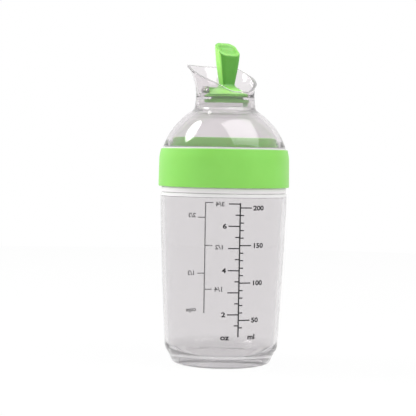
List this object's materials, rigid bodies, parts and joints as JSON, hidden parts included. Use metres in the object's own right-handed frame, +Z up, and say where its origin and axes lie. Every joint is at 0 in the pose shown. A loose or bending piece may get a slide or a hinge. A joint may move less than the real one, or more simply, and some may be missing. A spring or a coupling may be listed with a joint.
{
  "type": "oil dispenser bottle",
  "caption": "Clear cup with a screw-on clear dome lid, green grip sleeve, slant-cut flared spout and a thumb lever that tips forward to open a conical silicone valve.",
  "frame": {"origin": "centre of the cup's base, on the surface it stands on", "axes": "+Z up along the bottle's axis; the spout points towards -X and the hinge pin lies along Y"},
  "size_m": [0.0676, 0.0676, 0.1655],
  "materials": {
    "cup_clear": "clear moulded plastic, glossy",
    "dome_clear": "clear moulded plastic, glossy",
    "sleeve_green": "soft-touch moulding, fine matte",
    "lever_green": "moulded plastic, satin",
    "silicone_green": "silicone, satin",
    "pin_steel": "drawn steel wire"
  },
  "bodies": {
    "cup": {"cup": "cup_clear"},
    "gasket": {"lid_gasket": "silicone_green"},
    "lid": {"dome_lid": "dome_clear", "grip_sleeve": "sleeve_green", "seat_seal": "silicone_green", "hinge_pin": "pin_steel"},
    "lever": {"lever": "lever_green", "plug_seal": "silicone_green"}
  },
  "joints": [
    {"name": "lid_lift", "type": "slide", "parent": "cup", "child": "gasket", "axis": [0, 0, 1], "range_m": [0, 0.0101]},
    {"name": "lid_turn", "type": "hinge", "parent": "gasket", "child": "lid", "pos_m": [0, 0, 0.1], "axis": [0, 0, 1], "range_deg": [0, 450]},
    {"name": "lever_tilt", "type": "hinge", "parent": "lid", "child": "lever", "pos_m": [-0.004, 0, 0.14044], "axis": [0, -1, 0], "range_deg": [0, 40]}
  ],
  "couplings": [
    {"joint": "lid_lift", "follows": "lid_turn", "m_per_rad": 0.0012732}
  ]
}
